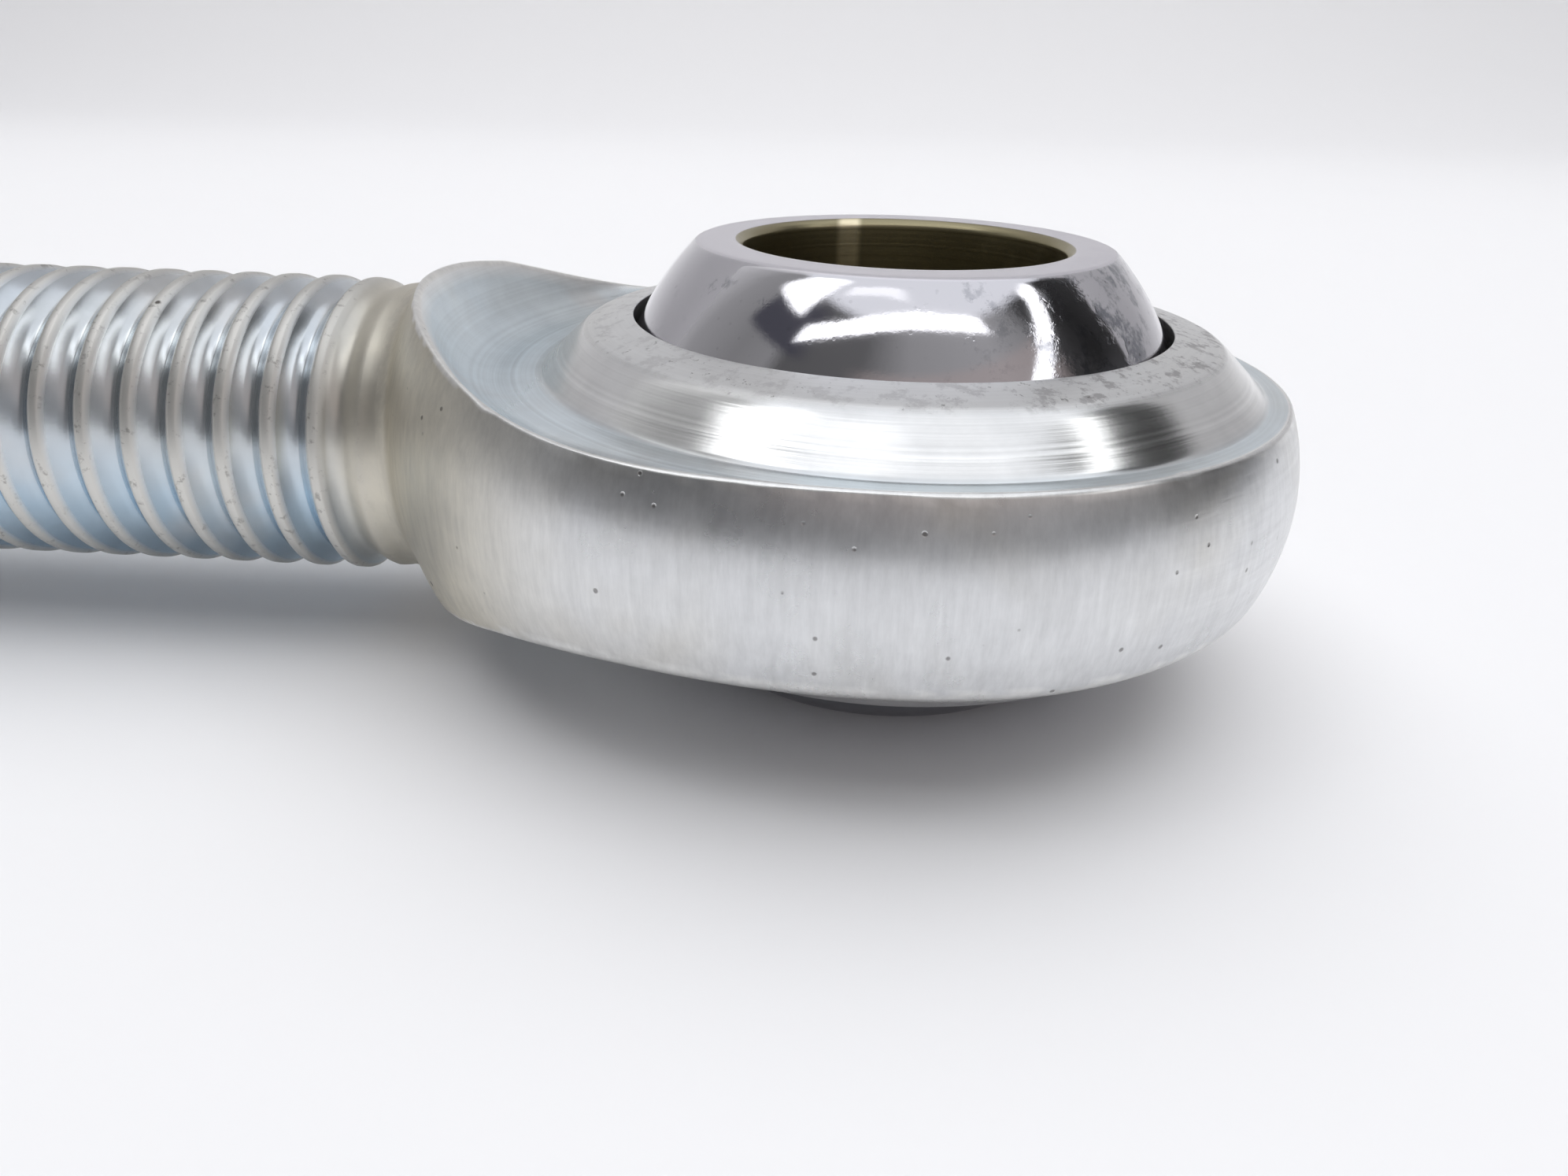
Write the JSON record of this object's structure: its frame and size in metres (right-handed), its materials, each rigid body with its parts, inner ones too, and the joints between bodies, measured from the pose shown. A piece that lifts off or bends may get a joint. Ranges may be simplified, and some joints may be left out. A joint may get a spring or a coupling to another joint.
{
  "type": "rod end bearing",
  "caption": "Male rod end bearing: a zinc-plated forged eye with a left-hand threaded shank, swaged round a chromed spherical ball with a through bore.",
  "frame": {"origin": "centre of the ball, on the bore's axis and the shank's axis", "axes": "+Z along the ball's bore, -X from the ball along the threaded shank to its end, +Y to complete a right-handed frame"},
  "size_m": [0.0691, 0.0304, 0.016],
  "materials": {
    "zinc_plate": "bright zinc plating with a clear blue passivation, turned faces with fine lathe lines",
    "hard_chrome": "hard chrome plating, near mirror with fine pitting; satin flats and bore",
    "grease": "amber bearing grease"
  },
  "bodies": {
    "body": {"rod_end_body": "zinc_plate"},
    "outer_film": {"grease_film_outer": "grease"},
    "inner_film": {"grease_film_inner": "grease"},
    "ball": {"ball": "hard_chrome"}
  },
  "joints": [
    {"name": "ball_tilt_about_shank", "type": "hinge", "parent": "body", "child": "outer_film", "pos_m": [0, 0, 0], "axis": [1, 0, 0], "range_deg": [-13, 13]},
    {"name": "ball_tilt_along_shank", "type": "hinge", "parent": "outer_film", "child": "inner_film", "pos_m": [0, 0, 0], "axis": [0, 1, 0], "range_deg": [-13, 13]},
    {"name": "ball_spin", "type": "hinge", "parent": "inner_film", "child": "ball", "pos_m": [0, 0, 0], "axis": [0, 0, 1], "continuous": true}
  ]
}
